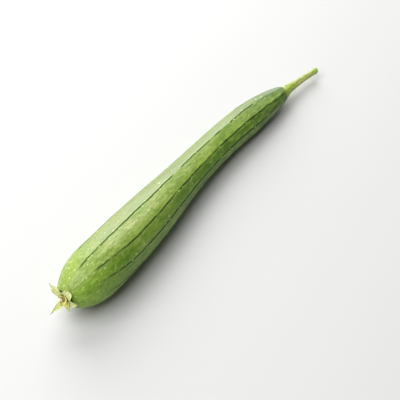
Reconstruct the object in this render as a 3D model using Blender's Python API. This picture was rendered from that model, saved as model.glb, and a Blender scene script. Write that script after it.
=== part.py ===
"""Sponge gourd as picked, lying on its side: the fruit, its cut stem, the calyx and the withered flower.

The fruit lies along X with its blossom end at -X and its stem at +X. It is slightly bent sideways, and its
lowest facet is pressed flat where it rests. The origin is at the bottom centre of the whole part's box.
Lengths are in metres and angles in degrees, with +Z up.
"""

import bmesh
import bpy
import numpy as np

# Fruit: a step from belly to neck, rounded at the blossom end and tapered at the stem.
FRUIT_LENGTH = 0.3925
BELLY_RADIUS = 0.0295
NECK_RADIUS = 0.0190
WAIST_PLACE = 0.419
WAIST_STEEPNESS = 13.4
DOME_LENGTH = 0.135
DOME_POWER = 2.1
DOME_START = 0.008
SHOULDER_LENGTH = 0.223
SHOULDER_POWER = 1.48
SHOULDER_END = 0.0241
MAIN_BOW = 0.0076
END_BOW = -0.0037
# The blossom end sits a little off the middle line, and its calyx in a shallow dimple.
TIP_SHIFT = (0.0011, 0.0003)
TIP_SHIFT_LENGTH = 0.035
DIMPLE_RADIUS = 0.0078
DIMPLE_DEPTH = 0.0018

# Ridges: the angle of each from +Z toward -Y. They crowd toward the first one at the blossom end.
RIDGE_ANGLES = (-2.0, 38.5, 71.0, 103.0, 133.0, 163.0, 197.0, 235.0, 272.0, 310.0)
RIDGE_COUNT = len(RIDGE_ANGLES)
CROWDING = 24.0
CROWDING_LENGTH = 0.13
BELLY_FLATNESS = 0.10
NECK_FLATNESS = 0.50
TIP_FLATNESS = 0.35
TIP_FLATNESS_LENGTH = 0.06
# Each ridge stands out by this much on the neck and by this share of it on the belly, over this share of the
# facet on either side of it.
RIDGE_HEIGHT = 0.0004
BELLY_RIDGE = 0.5
RIDGE_SHARE = 0.125
# Mesh rows along the fruit, drawn toward its ends by this share, and columns on each facet.
FRUIT_ROWS = 56
ROW_CROWDING = 0.65
FACET_COLUMNS = 6

# Rest: the middle line is straight in height, and sinks the facet between the sixth and seventh ridge.
REST_FACET = 5.5
BELLY_CONTACT = 0.30
NECK_CONTACT = 0.82
REST_PRESS = 0.0005

# Stem: a ribbed stalk that flares to the fruit, with a slightly swollen slanted cut.
STEM_LENGTH = 0.0575
STEM_RADIUS = 0.0032
STEM_FLARE = 0.0038
STEM_FLARE_LENGTH = 0.018
STEM_RIBS = 5
STEM_RIB_DEPTH = 0.06
STEM_DROOP = 0.0016
CUT_SWELL = 0.0004
CUT_SWELL_LENGTH = 0.003
CUT_SLANT = 0.35
CUT_SLANT_LENGTH = 0.007
STEM_ROWS = 18
STEM_COLUMNS = 20

# Calyx: a short cup with sepals on its rim. Angles of the sepals are from +Z toward -Y.
CUP_RADIUS = 0.0076
CUP_HEIGHT = 0.0032
CUP_WALL = 0.0015
CUP_FLOOR = 0.0012
SEPAL_THICKNESS = 0.0008
SEPAL_ROOT = 0.0014
SEPAL_ROOT_HEIGHT = 0.0024
SEPAL_CAMBER = 0.12
CUP_COLUMNS = 24
SEPALS = (
    # turn, spread at the root, further curl to the tip, twist, length, width, taper, swell
    (293.0, 84.0, 14.0, 42.0, 0.0165, 0.0076, 1.8, 4.0),
    (24.0, 58.0, 100.0, 0.0, 0.0100, 0.0118, 0.45, 0.5),
    (82.0, 66.0, 64.0, 0.0, 0.0120, 0.0078, 1.3, 2.2),
    (146.0, 56.0, 30.0, 0.0, 0.0080, 0.0080, 0.6, 0.9),
    (204.0, 34.0, -10.0, 0.0, 0.0190, 0.0058, 1.7, 3.6),
)

# Withered flower: crumpled petals round the stub of the style, inside the cup.
FLOWER_RADIUS = 0.0044
FLOWER_HEIGHT = 0.0022
STYLE_RADIUS = 0.0009
STYLE_HEIGHT = 0.0050
PETAL_ROOT = 0.0026
PETAL_ROOT_HEIGHT = 0.0008
PETAL_THICKNESS = 0.0007
PETAL_CAMBER = 0.10
PETAL_FOLD = 0.10
FLOWER_COLUMNS = 16
PETALS = (
    # turn, spread at the root, further curl to the tip, twist, length, width, taper, swell
    (115.0, 24.0, 60.0, -50.0, 0.0078, 0.0040, 0.8, 4.0),
    (45.0, 20.0, 80.0, -50.0, 0.0080, 0.0040, 0.8, 4.0),
    (185.0, 14.0, 50.0, -30.0, 0.0072, 0.0036, 0.8, 4.0),
    (330.0, 20.0, 70.0, 20.0, 0.0070, 0.0038, 0.8, 4.0),
)

# Mesh rows along a leaf and columns across it, and the share of its width that its tip keeps.
LEAF_ROWS = 9
LEAF_COLUMNS = 5
LEAF_TIP_SHARE = 0.08
# Edges that turn by more than this are shaded sharp.
SHARP_ANGLE = 40.0

# Gap between two pieces that touch.
GAP = 0.0003
# The fruit's middle in the part's own frame, which puts the origin under the middle of the whole box.
FRUIT_MIDDLE = (-0.0202, -0.0007)


def step(value):
    """Smooth step from 0 to 1 with its middle at 0."""
    return 1.0 / (1.0 + np.exp(-value))


def belly_to_neck(belly, neck, x):
    """A value that steps smoothly from the belly's to the neck's, at the fraction x of the length."""
    return belly + (neck - belly) * step(WAIST_STEEPNESS * (x - WAIST_PLACE))


def girth(x):
    """Radius at the ridges, at the fraction x of the length."""
    body = belly_to_neck(BELLY_RADIUS, NECK_RADIUS, x)
    into_dome = np.clip((x + DOME_START) / DOME_LENGTH, 0.0, 1.0)
    into_shoulder = np.clip((1.0 - x + SHOULDER_END) / SHOULDER_LENGTH, 0.0, 1.0)
    dome = 1.0 - (1.0 - into_dome) ** DOME_POWER
    shoulder = 1.0 - (1.0 - into_shoulder) ** SHOULDER_POWER
    return body * np.sqrt(dome * shoulder)


def flatness(x):
    """How far the skin between two ridges is flat instead of round: least at the blossom end."""
    tip = 1.0 - (1.0 - TIP_FLATNESS) * np.exp(-((x / TIP_FLATNESS_LENGTH) ** 2))
    return belly_to_neck(BELLY_FLATNESS, NECK_FLATNESS, x) * tip


def ridge_angle(number, x):
    """Angle of a ridge in radians, drawn toward the first ridge near the blossom end."""
    turns, index = np.divmod(number, RIDGE_COUNT)
    angle = np.radians(np.take(RIDGE_ANGLES, index) + 360.0 * turns)
    first = np.radians(RIDGE_ANGLES[0])
    drawn = np.radians(CROWDING) * np.exp(-((x / CROWDING_LENGTH) ** 2))
    return angle - drawn * np.sin(angle - first)


def skin_polar(x, u):
    """Angle and radius of the skin. u counts ridges, so u = 2.5 is midway between the third and fourth.

    Between two ridges the radius is part chord and part arc, as the flatness says. The ridges' bead fades
    toward both ends, and is gone where the girth is half of the neck's.
    """
    number = np.floor(u).astype(int)
    share = u - number
    start = ridge_angle(number, x)
    end = ridge_angle(number + 1, x)
    half = (end - start) / 2.0
    off = (2.0 * share - 1.0) * half
    flat = np.cos(half) / np.cos(off)
    radius = girth(x) * (1.0 - flatness(x) * (1.0 - flat))
    bead = RIDGE_HEIGHT * np.clip(1.0 - np.minimum(share, 1.0 - share) / RIDGE_SHARE, 0.0, 1.0)
    fade = np.clip(girth(x) / NECK_RADIUS - 0.5, 0.0, 1.0) * belly_to_neck(BELLY_RIDGE, 1.0, x)
    return start + half + off, radius + bead * fade


def rest_height(x):
    """Height of the middle line at which the lowest facet is pressed flat by the rest's depth."""
    return skin_polar(np.float64(x), np.float64(REST_FACET))[1] - REST_PRESS


def axis_points(x):
    """Middle line: two sideways bows, a slope in height from belly to neck, and the blossom end's shift."""
    tip = np.exp(-((x / TIP_SHIFT_LENGTH) ** 2))
    bend = MAIN_BOW * np.sin(np.pi * x) + END_BOW * np.sin(2.0 * np.pi * x) + TIP_SHIFT[0] * tip
    along = (x - BELLY_CONTACT) / (NECK_CONTACT - BELLY_CONTACT)
    height = rest_height(BELLY_CONTACT) * (1.0 - along) + rest_height(NECK_CONTACT) * along
    height += TIP_SHIFT[1] * tip
    length = (x - 0.5) * FRUIT_LENGTH
    return np.stack([length + FRUIT_MIDDLE[0], bend + FRUIT_MIDDLE[1], height], axis=-1)


def unit(vectors):
    """The same directions with length 1."""
    return vectors / np.linalg.norm(vectors, axis=-1, keepdims=True)


def axis_frames(x):
    """Directions along the middle line, to its -Y side and up."""
    tiny = 0.0001
    along = unit(axis_points(x + tiny) - axis_points(x - tiny))
    side = unit(np.cross(along, (0.0, 0.0, 1.0)))
    return along, side, np.cross(side, along)


def end_frame():
    """Middle of the blossom end, the way out of it, and the -Y side and up directions there."""
    along, side, up = axis_frames(np.float64(0.0))
    return axis_points(np.float64(0.0)), -along, side, up


def calyx_frame():
    """The blossom end's frame, moved to the bottom of its dimple."""
    middle, out, side, up = end_frame()
    return middle + (GAP - DIMPLE_DEPTH) * out, out, side, up


def loft(name, rings):
    """Closed body through rings of points, each bridged to the next, with a flat cap on both ends."""
    body = bmesh.new()
    loops = []
    for ring in rings:
        points = [body.verts.new(point) for point in ring]
        pairs = zip(points, points[1:] + points[:1])
        loops.append([body.edges.new(pair) for pair in pairs])
    for near, far in zip(loops, loops[1:]):
        bmesh.ops.bridge_loops(body, edges=near + far)
    for edges in (loops[0], loops[-1]):
        bmesh.ops.holes_fill(body, edges=edges)
    bmesh.ops.recalc_face_normals(body, faces=body.faces)
    mesh = bpy.data.meshes.new(name)
    body.to_mesh(mesh)
    body.free()
    return mesh


def add_object(name, mesh):
    """Object of that mesh in the scene, shaded smooth apart from its sharp edges."""
    piece = bpy.data.objects.new(name, mesh)
    bpy.context.scene.collection.objects.link(piece)
    mesh.shade_smooth()
    mesh.set_sharp_from_angle(angle=np.radians(SHARP_ANGLE))
    return piece


def add_material(piece, colour, roughness):
    """One plain material for the whole piece."""
    material = bpy.data.materials.new(piece.name)
    material.use_nodes = True
    shader = material.node_tree.nodes["Principled BSDF"]
    shader.inputs["Base Color"].default_value = (*colour, 1.0)
    shader.inputs["Roughness"].default_value = roughness
    shader.inputs["Metallic"].default_value = 0.0
    piece.data.materials.clear()
    piece.data.materials.append(material)


def make_fruit():
    """Ribbed skin from the blossom end to the shoulder, clipped flat at the height of the surface."""
    even = np.linspace(0.0, 1.0, FRUIT_ROWS)
    x = even + ROW_CROWDING * ((1.0 - np.cos(np.pi * even)) / 2.0 - even)
    u = np.arange(RIDGE_COUNT * FACET_COLUMNS) / FACET_COLUMNS
    x, u = np.meshgrid(x, u, indexing="ij")
    angle, radius = skin_polar(x, u)
    _, side, up = axis_frames(x)
    points = axis_points(x)
    points += (radius * np.sin(angle))[..., None] * side + (radius * np.cos(angle))[..., None] * up
    points[..., 2] = np.maximum(points[..., 2], 0.0)
    middle, out, _, _ = end_frame()
    dimple = middle + (points[0] - middle) * DIMPLE_RADIUS / girth(0.0) - DIMPLE_DEPTH * out
    fruit = add_object("fruit", loft("fruit", [dimple, *points]))
    add_material(fruit, (0.22, 0.36, 0.08), 0.45)


def make_stem():
    """Stalk carried along a drooping path, with ribs round it, a flare at the fruit and a slanted cut."""
    turn = np.radians(np.arange(STEM_COLUMNS) * 360.0 / STEM_COLUMNS)
    even, turn = np.meshgrid(np.linspace(0.0, 1.0, STEM_ROWS), turn, indexing="ij")
    along, side, up = axis_frames(np.float64(1.0))
    distance = even * STEM_LENGTH
    radius = STEM_RADIUS + STEM_FLARE * np.exp(-distance / STEM_FLARE_LENGTH)
    radius += CUT_SWELL * np.exp((distance - STEM_LENGTH) / CUT_SWELL_LENGTH)
    past_flare = np.clip(distance / STEM_FLARE_LENGTH, 0.0, 1.0)
    radius *= 1.0 + STEM_RIB_DEPTH * np.cos(STEM_RIBS * turn) * past_flare
    near_cut = np.clip(1.0 - (STEM_LENGTH - distance) / CUT_SLANT_LENGTH, 0.0, 1.0)
    slant = CUT_SLANT * radius * np.cos(turn) * near_cut
    points = axis_points(np.float64(1.0)) + (distance + slant + GAP)[..., None] * along
    points = points + (STEM_DROOP * even**2)[..., None] * (side - up) / np.sqrt(2.0)
    points += (radius * np.sin(turn))[..., None] * side + (radius * np.cos(turn))[..., None] * up
    stem = add_object("stem", loft("stem", points))
    add_material(stem, (0.45, 0.52, 0.16), 0.55)


def turned_rings(profile, around):
    """Rings of a profile of radius and height, turned round the way out of the blossom end."""
    base, out, side, up = calyx_frame()
    turn = np.radians(np.arange(around) * 360.0 / around)
    circle = np.sin(turn)[:, None] * side + np.cos(turn)[:, None] * up
    return [base + height * out + radius * circle for radius, height in profile]


def leaf_sheet(leaf, root, height, camber, fold):
    """Leaf that curls away from its root on a circle round the blossom end, from s = 0 to its tip at s = 1.

    Its width follows (1 - s)^taper (1 + swell s), the twist turns it over the first half of its length, the
    camber raises its edges, and the fold waves it.
    """
    turn, spread, curl, twist, length, width, taper, swell = leaf
    base, out, side, up = calyx_frame()
    angle = np.radians(turn)
    outward = np.sin(angle) * side + np.cos(angle) * up
    across = np.cos(angle) * side - np.sin(angle) * up
    s = np.linspace(0.0, 1.0, LEAF_ROWS)
    lean = np.radians(spread + curl * s)
    run = np.cos(lean)[:, None] * out + np.sin(lean)[:, None] * outward
    face = np.cos(lean)[:, None] * outward - np.sin(lean)[:, None] * out
    steps = (run[1:] + run[:-1]) / 2.0 * length / (LEAF_ROWS - 1)
    middle = base + root * outward + height * out + np.vstack([np.zeros(3), np.cumsum(steps, axis=0)])
    spans = width * np.maximum((1.0 - s) ** taper * (1.0 + swell * s), LEAF_TIP_SHARE)
    turned = np.radians(twist) * np.minimum(2.0 * s, 1.0)[:, None]
    wide = np.cos(turned) * across + np.sin(turned) * face
    face = np.cos(turned) * face - np.sin(turned) * across
    v = np.linspace(-1.0, 1.0, LEAF_COLUMNS)
    lift = spans[:, None] * (camber * v**2 + fold * np.cos(2.0 * np.pi * v) * np.sin(np.pi * s)[:, None])
    points = middle[:, None] + (spans[:, None] * v / 2.0)[..., None] * wide[:, None]
    return points - lift[..., None] * face[:, None]


def add_leaf(name, points, thickness, group):
    """Sheet of triangles given a thickness by Solidify, so that both faces are split alike."""
    rows, columns = points.shape[:2]
    sheet = bmesh.new()
    corners = [[sheet.verts.new(point) for point in row] for row in points]
    for i in range(rows - 1):
        for j in range(columns - 1):
            sheet.faces.new((corners[i][j], corners[i][j + 1], corners[i + 1][j + 1], corners[i + 1][j]))
    bmesh.ops.triangulate(sheet, faces=sheet.faces)
    mesh = bpy.data.meshes.new(name)
    sheet.to_mesh(mesh)
    sheet.free()
    leaf = bpy.data.objects.new(name, mesh)
    group.objects.link(leaf)
    solid = leaf.modifiers.new("thickness", "SOLIDIFY")
    solid.thickness = thickness
    solid.offset = 0.0
    return leaf


def join_leaves(name, mesh, group):
    """Object of the mesh with the group's leaves joined to it, the union applied and the leaves removed."""
    piece = add_object(name, mesh)
    union = piece.modifiers.new("union", "BOOLEAN")
    union.operation = "UNION"
    union.operand_type = "COLLECTION"
    union.collection = group
    union.solver = "EXACT"
    scene_now = bpy.context.evaluated_depsgraph_get()
    joined = bpy.data.meshes.new_from_object(piece.evaluated_get(scene_now))
    piece.modifiers.clear()
    piece.data = joined
    for leaf in list(group.objects):
        bpy.data.objects.remove(leaf)
    bpy.data.collections.remove(group)
    joined.shade_smooth()
    joined.set_sharp_from_angle(angle=np.radians(SHARP_ANGLE))
    return piece


def make_group(name):
    """Collection in the scene that holds leaves until they are joined."""
    group = bpy.data.collections.new(name)
    bpy.context.scene.collection.children.link(group)
    return group


def make_calyx():
    """Cup turned round the blossom end, with its sepals joined to the rim."""
    inner = CUP_RADIUS - CUP_WALL
    profile = (
        (0.5 * CUP_RADIUS, 0.0),
        (0.78 * CUP_RADIUS, 0.0),
        (0.92 * CUP_RADIUS, DIMPLE_DEPTH),
        (CUP_RADIUS, 0.65 * CUP_HEIGHT),
        (0.90 * CUP_RADIUS, CUP_HEIGHT),
        (inner, 0.95 * CUP_HEIGHT),
        (0.97 * inner, 1.5 * CUP_FLOOR),
        (0.85 * inner, CUP_FLOOR),
    )
    group = make_group("sepals")
    for number, sepal in enumerate(SEPALS):
        sheet = leaf_sheet(sepal, CUP_RADIUS - SEPAL_ROOT, SEPAL_ROOT_HEIGHT, SEPAL_CAMBER, 0.0)
        add_leaf(f"sepal_{number}", sheet, SEPAL_THICKNESS, group)
    calyx = join_leaves("calyx", loft("calyx", turned_rings(profile, CUP_COLUMNS)), group)
    add_material(calyx, (0.72, 0.75, 0.30), 0.6)


def make_withered_flower():
    """Low disc with the style's stub on it, and crumpled petals that rise from it and bend over."""
    profile = (
        (FLOWER_RADIUS, 0.0),
        (FLOWER_RADIUS, 0.45 * FLOWER_HEIGHT),
        (0.75 * FLOWER_RADIUS, FLOWER_HEIGHT),
        (1.6 * STYLE_RADIUS, 1.1 * FLOWER_HEIGHT),
        (STYLE_RADIUS, 1.5 * FLOWER_HEIGHT),
        (1.2 * STYLE_RADIUS, STYLE_HEIGHT),
    )
    floor = CUP_FLOOR + GAP
    profile = [(radius, height + floor) for radius, height in profile]
    group = make_group("petals")
    for number, petal in enumerate(PETALS):
        sheet = leaf_sheet(petal, PETAL_ROOT, floor + PETAL_ROOT_HEIGHT, PETAL_CAMBER, PETAL_FOLD)
        add_leaf(f"petal_{number}", sheet, PETAL_THICKNESS, group)
    disc = loft("withered_flower", turned_rings(profile, FLOWER_COLUMNS))
    flower = join_leaves("withered_flower", disc, group)
    add_material(flower, (0.30, 0.24, 0.08), 0.85)


for old in list(bpy.data.objects):
    bpy.data.objects.remove(old)
make_fruit()
make_stem()
make_calyx()
make_withered_flower()
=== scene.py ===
"""Looks of a sponge gourd as picked, lying on its side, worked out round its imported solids, in metres."""

from types import SimpleNamespace

import bpy
from mathutils import Matrix
import numpy as np


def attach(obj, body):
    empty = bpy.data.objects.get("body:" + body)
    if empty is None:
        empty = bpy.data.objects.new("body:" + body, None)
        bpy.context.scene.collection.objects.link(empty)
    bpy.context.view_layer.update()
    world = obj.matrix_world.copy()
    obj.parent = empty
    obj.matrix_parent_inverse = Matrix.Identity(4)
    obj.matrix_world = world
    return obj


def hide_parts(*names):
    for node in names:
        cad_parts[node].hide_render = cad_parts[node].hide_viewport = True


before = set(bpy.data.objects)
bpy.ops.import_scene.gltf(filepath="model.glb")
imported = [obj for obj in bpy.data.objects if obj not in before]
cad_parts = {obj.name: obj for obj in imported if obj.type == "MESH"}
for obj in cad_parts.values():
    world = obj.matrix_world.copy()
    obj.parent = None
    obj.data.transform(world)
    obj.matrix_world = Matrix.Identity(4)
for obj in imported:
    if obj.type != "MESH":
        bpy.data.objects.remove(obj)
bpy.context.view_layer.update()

# Fruit: the smooth gourd itself, firm watery flesh under a thin waxy skin, grown as one piece. Ten low
# ridges run along it, each with a dark green line. It rests on two flat patches, one under its belly and
# one under its neck.

FRUIT_LENGTH = 0.3925
BELLY_RADIUS = 0.0295
NECK_RADIUS = 0.0190
# The waist, the blossom end's dome and the shoulder, as shares of the length, and how sharply they bend.
WAIST_PLACE = 0.419
WAIST_STEEPNESS = 13.4
DOME_START = 0.008
DOME_LENGTH = 0.135
DOME_POWER = 2.1
SHOULDER_END = 0.0241
SHOULDER_LENGTH = 0.223
SHOULDER_POWER = 1.48
# Where the middle line lies, how far it bends sideways, and how far the tip strays to the side and up.
FRUIT_MIDDLE = (-0.0202, -0.0007)
MAIN_BOW = 0.0076
END_BOW = -0.0037
TIP_SHIFT = (0.0011, 0.0003)
TIP_SHIFT_LENGTH = 0.035
# Angles of the ridges from +Z toward -Y, and how they crowd toward the first one at the blossom end.
RIDGE_ANGLES = (-2.0, 38.5, 71.0, 103.0, 133.0, 163.0, 197.0, 235.0, 272.0, 310.0)
RIDGE_COUNT = len(RIDGE_ANGLES)
CROWDING = 24.0
CROWDING_LENGTH = 0.13
# How flat the skin is between two ridges, from 0 for round to 1 for flat, and the share of it at the tip.
BELLY_FLATNESS = 0.10
NECK_FLATNESS = 0.50
TIP_FLATNESS = 0.35
TIP_FLATNESS_LENGTH = 0.06
# Height of the swelling on the ridges, its share on the belly, and the girth in neck radii where it is gone.
RIDGE_HEIGHT = 0.0004
BELLY_RIDGE = 0.5
RIDGE_FADE = 0.5
# The middle line's height sinks the facet between the sixth and seventh ridge by the rest's depth.
REST_FACET = 5.5
BELLY_CONTACT = 0.30
NECK_CONTACT = 0.82
REST_PRESS = 0.0005
# Width of the swelling that carries each line, the groove in it, and how the line wanders from its ridge.
SWELLING_WIDTH = 0.0026
GROOVE_WIDTH = 0.0006
GROOVE_DEPTH = 0.0002
LINE_WANDER = 0.0004
WANDER_PACES = (3.0, 8.0, 21.0, 47.0, 73.0)
WANDER_FALL = 0.35
WANDER_SEED = 11
# Lumps all over the skin but its ends, and puckers that die off from the blossom end.
LUMP_HEIGHT = 0.00010
LUMP_FADE = 0.03
PUCKER_HEIGHT = 0.0003
PUCKER_LENGTH = 0.010
# Where each ridge's line starts and ends along the fruit, and the gaps in it: ridge, middle and half length.
LINE_STARTS = np.array((0.021, 0.029, 0.030, 0.036, 0.027, 0.034, 0.030, 0.038, 0.026, 0.040))
LINE_ENDS = np.array((0.362, 0.372, 0.366, 0.370, 0.360, 0.368, 0.362, 0.356, 0.368, 0.352))
LINE_GAPS = (
    (0, 0.1885, 0.0075),
    (0, 0.2560, 0.0045),
    (0, 0.2805, 0.0080),
    (1, 0.0520, 0.0020),
    (2, 0.2460, 0.0030),
    (3, 0.2100, 0.0050),
    (5, 0.1300, 0.0060),
    (7, 0.2300, 0.0090),
    (8, 0.1500, 0.0060),
    (9, 0.1180, 0.0080),
    (9, 0.2440, 0.0100),
)
# The stretches over which a line fades in at its start, out at its end, and in again past a gap.
START_FADE = (-0.003, 0.006)
END_FADE = (-0.006, 0.040)
GAP_FADE = (-0.002, 0.003)
# The calyx sits in a shallow dimple. Its rings grow from a core to the skin's first ring, and closing rings,
# as shares of the skin's last one, draw in the end at the stem.
DIMPLE_RADIUS = 0.0078
DIMPLE_DEPTH = 0.0018
DIMPLE_CORE = 0.08
DIMPLE_ROWS = 8
CLOSING_RINGS = (0.8, 0.4)
# Rows crowd toward both ends of the fruit, and columns toward the ridges.
FRUIT_ROWS = 256
FACET_COLUMNS = 36
ROW_CROWDING = 0.65
COLUMN_CROWDING = 0.6


def step(value):
    """Smooth step from 0 to 1 with its middle at 0: 1 over 1 plus e to the minus value."""
    return 1.0 / (1.0 + np.exp(-value))


def rise(value, low, high):
    """0 below low, 1 above high, and between them 3 s^2 - 2 s^3 of the share s."""
    share = np.clip((value - low) / (high - low), 0.0, 1.0)
    return share * share * (3.0 - 2.0 * share)


def waves(places, seed, count, pace):
    """Gentle unevenness of about -1 to 1: sine waves over the places, of seeded random pace and start."""
    draw = np.random.default_rng(seed)
    total = 0.0
    for _ in range(count):
        phase = draw.uniform(0.0, 2.0 * np.pi)
        for place in places:
            phase = phase + 2.0 * np.pi * pace * draw.normal() * place
        total = total + np.sin(phase)
    return total / np.sqrt(2.0 * count)


def unit(vectors):
    """The same directions with length 1."""
    return vectors / np.linalg.norm(vectors, axis=-1, keepdims=True)


def belly_to_neck(belly, neck, x):
    """A value that steps smoothly from the belly's to the neck's, at the fraction x of the length."""
    return belly + (neck - belly) * step(WAIST_STEEPNESS * (x - WAIST_PLACE))


def girth(x):
    """Radius at the ridges: a step from belly to neck, times the root of the dome's and shoulder's rise."""
    body = belly_to_neck(BELLY_RADIUS, NECK_RADIUS, x)
    into_dome = np.clip((x + DOME_START) / DOME_LENGTH, 0.0, 1.0)
    into_shoulder = np.clip((1.0 - x + SHOULDER_END) / SHOULDER_LENGTH, 0.0, 1.0)
    dome = 1.0 - (1.0 - into_dome) ** DOME_POWER
    shoulder = 1.0 - (1.0 - into_shoulder) ** SHOULDER_POWER
    return body * np.sqrt(dome * shoulder)


def ridge_angle(number, x):
    """Angle of a ridge in radians, less the crowding times the sine of its angle from the first ridge."""
    turns, index = np.divmod(number, RIDGE_COUNT)
    angle = np.radians(np.take(RIDGE_ANGLES, index) + 360.0 * turns)
    drawn = np.radians(CROWDING) * np.exp(-((x / CROWDING_LENGTH) ** 2))
    return angle - drawn * np.sin(angle - np.radians(RIDGE_ANGLES[0]))


def facet(x, u):
    """Angle and bare radius of the skin at x along it and u ridges round it.

    Between two ridges the radius is the girth times 1 - flatness (1 - cos half / cos off). Half is half the
    facet's angle and off is the angle from its middle. The flatness steps from belly to neck and is less at
    the tip.
    """
    number = np.floor(u).astype(int)
    start = ridge_angle(number, x)
    half = (ridge_angle(number + 1, x) - start) / 2.0
    off = (2.0 * (u - number) - 1.0) * half
    tip = 1.0 - (1.0 - TIP_FLATNESS) * np.exp(-((x / TIP_FLATNESS_LENGTH) ** 2))
    flatness = belly_to_neck(BELLY_FLATNESS, NECK_FLATNESS, x) * tip
    return start + half + off, girth(x) * (1.0 - flatness * (1.0 - np.cos(half) / np.cos(off)))


def middle_line(x):
    """Points of the middle line: two sideways bows, a straight slope in height, and the tip's shift."""
    tip = np.exp(-((x / TIP_SHIFT_LENGTH) ** 2))
    bend = MAIN_BOW * np.sin(np.pi * x) + END_BOW * np.sin(2.0 * np.pi * x) + TIP_SHIFT[0] * tip
    contacts = np.array((BELLY_CONTACT, NECK_CONTACT))
    belly, neck = facet(contacts, np.full(2, REST_FACET))[1] - REST_PRESS
    slope = (x - BELLY_CONTACT) / (NECK_CONTACT - BELLY_CONTACT)
    height = belly * (1.0 - slope) + neck * slope + TIP_SHIFT[1] * tip
    return np.stack([(x - 0.5) * FRUIT_LENGTH + FRUIT_MIDDLE[0], bend + FRUIT_MIDDLE[1], height], axis=-1)


def directions(x):
    """Directions along the middle line, to its -Y side and up, from its slope between two close points."""
    tiny = 0.0001
    along = unit(middle_line(x + tiny) - middle_line(x - tiny))
    side = unit(np.cross(along, (0.0, 0.0, 1.0)))
    return along, side, np.cross(side, along)


def end_frame():
    """Middle of the blossom end, the way out of it, and the -Y side and up directions there."""
    along, side, up = directions(np.float64(0.0))
    return middle_line(np.float64(0.0)), -along, side, up


def line_wander(number, x):
    """How far a ridge's line strays sideways: sine waves, weaker the faster they are, with random starts."""
    draw = np.random.default_rng(WANDER_SEED)
    starts = draw.uniform(0.0, 2.0 * np.pi, (len(WANDER_PACES), RIDGE_COUNT))
    total = 0.0
    for start, pace in zip(starts, WANDER_PACES):
        total = total + np.sin(2.0 * np.pi * pace * x + start[number]) / pace**WANDER_FALL
    return LINE_WANDER * total


def line_strength(number, along):
    """1 where a line is drawn and 0 before its start, after its end and in its gaps, with soft ends."""
    strength = rise(along - LINE_STARTS[number], *START_FADE)
    strength = strength * rise(LINE_ENDS[number] - along, *END_FADE)
    for ridge, middle, half in LINE_GAPS:
        closed = rise(np.abs(along - middle) - half, *GAP_FADE)
        strength = strength * np.where(number == ridge, closed, 1.0)
    return strength


def skin_grid():
    """Places x along the skin, a mix of even steps and half a cosine, and u ridges round it, less a sine."""
    even = np.linspace(0.0, 1.0, FRUIT_ROWS)
    x = even + ROW_CROWDING * ((1.0 - np.cos(np.pi * even)) / 2.0 - even)
    share = np.arange(FACET_COLUMNS) / FACET_COLUMNS
    share = share - COLUMN_CROWDING * np.sin(2.0 * np.pi * share) / (2.0 * np.pi)
    return np.meshgrid(x, (np.arange(RIDGE_COUNT)[:, None] + share).ravel(), indexing="ij")


def close_ends(points, values):
    """The skin with the dimple's rings before it and the closing rings after it, and its values on both."""
    middle, out, _, _ = end_frame()
    inward = np.linspace(DIMPLE_CORE, 1.0, DIMPLE_ROWS + 1)[:-1, None, None]
    depth = DIMPLE_DEPTH * rise(girth(0.0) * inward, girth(0.0), DIMPLE_RADIUS)
    dimple = middle + (points[0] - middle) * inward - depth * out
    far = middle_line(np.float64(1.0))
    closing = far + (points[-1] - far) * np.array(CLOSING_RINGS)[:, None, None]
    rows = np.pad(np.arange(len(points)), (len(dimple), len(closing)), mode="edge")
    return np.concatenate([dimple, points, closing]), {name: value[rows] for name, value in values.items()}


def fruit_body():
    """Grid of the skin from the dimple at the blossom end to the shoulder, and its values for the colours.

    The radius is the facet's, plus the ridge's swelling, the puckers and the lumps, less the line's groove.
    The swelling and the groove are bell curves of the distance from the line. Everything below the surface
    that it lies on is pressed flat.
    """
    x, u = skin_grid()
    along = x * FRUIT_LENGTH
    angle, radius = facet(x, u)
    nearest = np.floor(u + 0.5).astype(int)
    number = nearest % RIDGE_COUNT
    offset = (angle - ridge_angle(nearest, x)) * girth(x)
    distance = np.abs(offset - line_wander(number, x))
    strength = line_strength(number, along)
    fade = np.clip(girth(x) / NECK_RADIUS - RIDGE_FADE, 0.0, 1.0) * belly_to_neck(BELLY_RIDGE, 1.0, x)
    radius = radius + fade * RIDGE_HEIGHT * np.exp(-((distance / SWELLING_WIDTH) ** 2))
    radius -= strength * GROOVE_DEPTH * np.exp(-((distance / GROOVE_WIDTH) ** 2))
    puckers = PUCKER_HEIGHT * waves((angle, 3.0 * x), seed=5, count=10, pace=4.0)
    radius += puckers * np.exp(-along / PUCKER_LENGTH)
    _, side, up = directions(x)
    outward = np.sin(angle)[..., None] * side + np.cos(angle)[..., None] * up
    points = middle_line(x) + radius[..., None] * outward
    lumps = LUMP_HEIGHT * waves(np.moveaxis(points, -1, 0), seed=3, count=18, pace=18.0)
    lumps = lumps * rise(along, 0.0, LUMP_FADE) * rise(FRUIT_LENGTH - along, 0.0, LUMP_FADE)
    points = points + lumps[..., None] * outward
    points[..., 2] = np.maximum(points[..., 2], 0.0)
    near_ridge = np.abs(2.0 * (u - np.floor(u)) - 1.0)
    values = {"along": along, "around": u, "near_ridge": near_ridge}
    return close_ends(points, {**values, "line_distance": distance, "line_strength": strength})


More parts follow.
